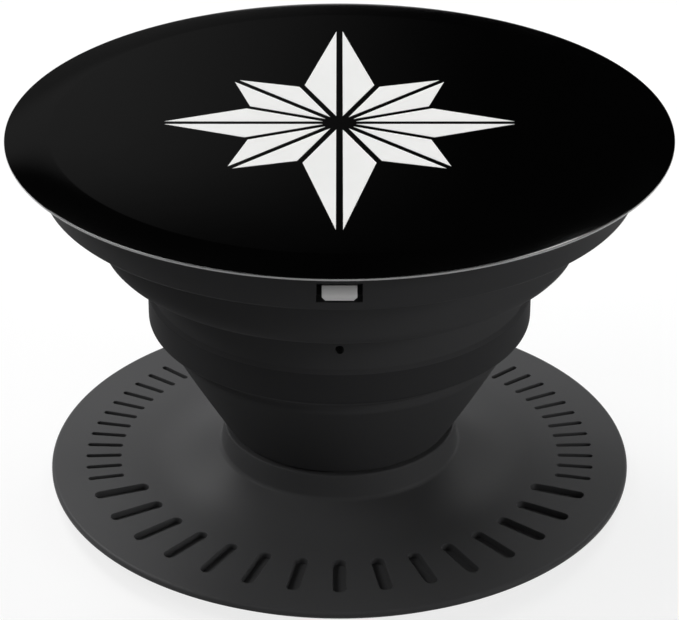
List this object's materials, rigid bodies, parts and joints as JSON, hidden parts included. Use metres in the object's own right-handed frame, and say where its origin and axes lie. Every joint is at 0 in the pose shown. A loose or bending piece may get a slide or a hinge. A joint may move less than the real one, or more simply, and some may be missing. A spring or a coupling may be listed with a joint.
{
  "type": "collapsible phone grip",
  "caption": "Collapsible phone grip: a round glossy top on a funnel-shaped folding accordion over a thin round adhesive base.",
  "frame": {"origin": "centre of the adhesive face, which goes on the phone", "axes": "+Z out of the phone along the grip's axis, -Y towards the front window"},
  "size_m": [0.04, 0.04, 0.0244],
  "materials": {
    "adhesive_pad": "soft tacky gel, dark grey",
    "base_plastic": "moulded, fine satin texture, dark grey",
    "foot_plastic": "moulded, fine satin texture, dark grey",
    "accordion_rubber": "moulded soft plastic, satin charcoal",
    "carrier_plastic": "moulded, satin charcoal",
    "lock_plastic": "moulded, natural light grey",
    "plug_plastic": "moulded, fine satin texture, dark grey",
    "top_plastic": "polished gloss black",
    "print_white": "white ink under a clear gloss coat"
  },
  "bodies": {
    "base": {"base_disc": "base_plastic", "adhesive_pad": "adhesive_pad"},
    "foot": {"swivel_foot": "foot_plastic", "accordion": "accordion_rubber"},
    "carrier": {"top_carrier": "carrier_plastic", "lock_ring": "lock_plastic"},
    "top": {"top_disc": "top_plastic", "twist_plug": "plug_plastic", "face_print": "print_white"}
  },
  "joints": [
    {"name": "swivel", "type": "hinge", "parent": "base", "child": "foot", "pos_m": [0, 0, 0.003], "axis": [0, 0, 1], "continuous": true},
    {"name": "collapse", "type": "slide", "parent": "foot", "child": "carrier", "axis": [0, 0, -1], "range_m": [0, 0.0174], "deforming": ["accordion"]},
    {"name": "top_twist", "type": "hinge", "parent": "carrier", "child": "top", "pos_m": [0, 0, 0.0225], "axis": [0, 0, 1], "range_deg": [0, 90]}
  ]
}
